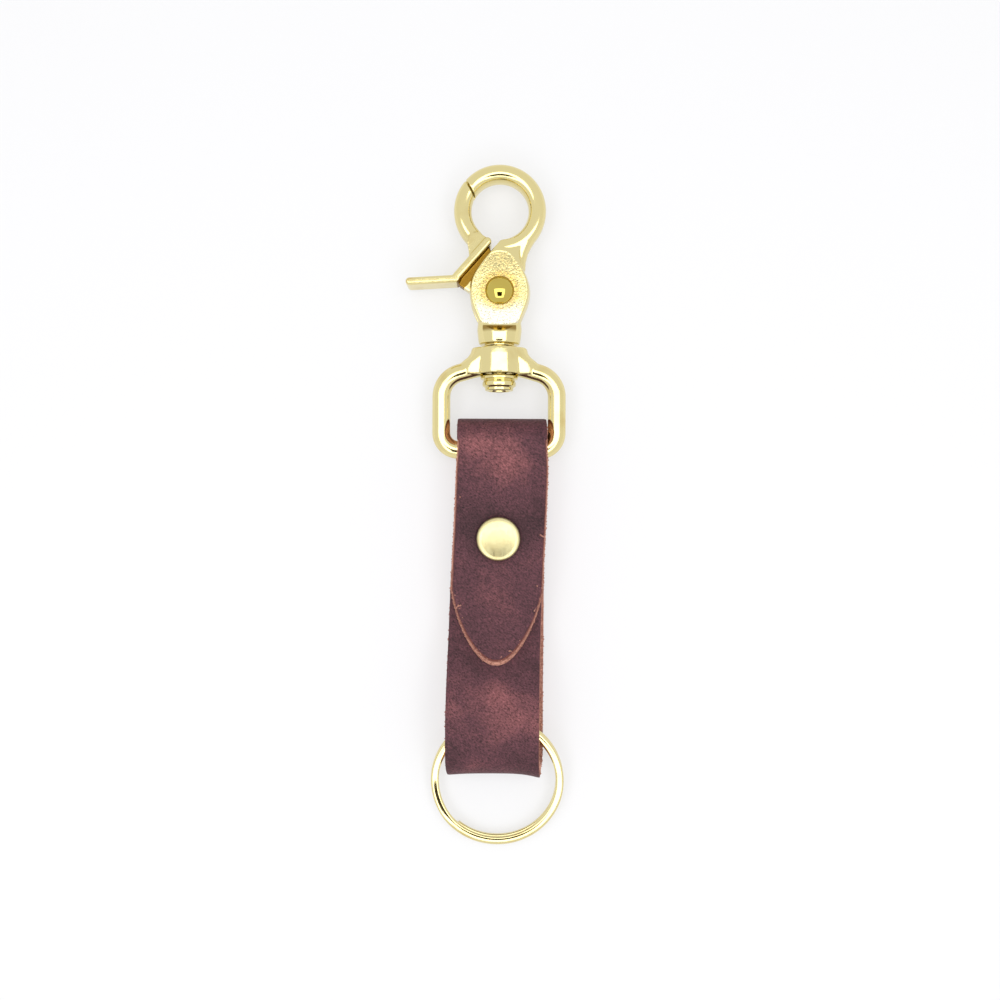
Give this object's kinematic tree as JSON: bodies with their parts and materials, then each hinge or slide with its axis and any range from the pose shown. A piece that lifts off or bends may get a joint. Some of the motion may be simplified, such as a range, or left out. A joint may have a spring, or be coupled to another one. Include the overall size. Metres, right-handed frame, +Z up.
{
  "type": "keychain",
  "caption": "Leather loop key fob with a riveted flap, a swivel trigger hook at one end and a split key ring in the other loop.",
  "frame": {"origin": "below the middle of the fob's box, on the plane that it lies on", "axes": "+Y along the strap towards the hook, +Z up out of the front face with the rivet, +X to the side away from the thumb plate"},
  "size_m": [0.0337, 0.1439, 0.0116],
  "materials": {
    "burgundy_leather": "oiled vegetable-tanned leather with a fine grain and raw pink edges",
    "polished_brass": "cast and polished",
    "antique_brass": "brushed satin",
    "ring_brass": "drawn, tumbled and polished",
    "spring_steel": "drawn wire"
  },
  "bodies": {
    "fob": {"strap": "burgundy_leather", "rivet_cap": "antique_brass", "rivet_post": "antique_brass"},
    "eye": {"swivel_eye": "polished_brass"},
    "snap": {"hook_body": "polished_brass", "pivot_rivet": "polished_brass", "swivel_pin": "polished_brass", "swivel_washer": "polished_brass"},
    "gate": {"gate_lever": "polished_brass", "gate_spring": "spring_steel"},
    "ring": {"key_ring": "ring_brass"}
  },
  "joints": [
    {"name": "eye_swing", "type": "hinge", "parent": "fob", "child": "eye", "pos_m": [0.00278, 0.01201, 0.0049], "axis": [1, 0, 0], "range_deg": [-130, 130]},
    {"name": "snap_swivel", "type": "hinge", "parent": "eye", "child": "snap", "pos_m": [0.00278, 0.03141, 0.0049], "axis": [0, 1, 0], "continuous": true},
    {"name": "gate_open", "type": "hinge", "parent": "snap", "child": "gate", "pos_m": [0.00278, 0.04501, 0.0049], "axis": [0, 0, 1], "range_deg": [0, 32], "stiffness_Nm_per_rad": 0.01, "springref_deg": -8.59, "deforming": ["gate_spring"]},
    {"name": "ring_swing", "type": "hinge", "parent": "fob", "child": "ring", "pos_m": [0.00278, -0.04707, 0.005], "axis": [-1, 0, 0], "range_deg": [-18, 28]}
  ]
}
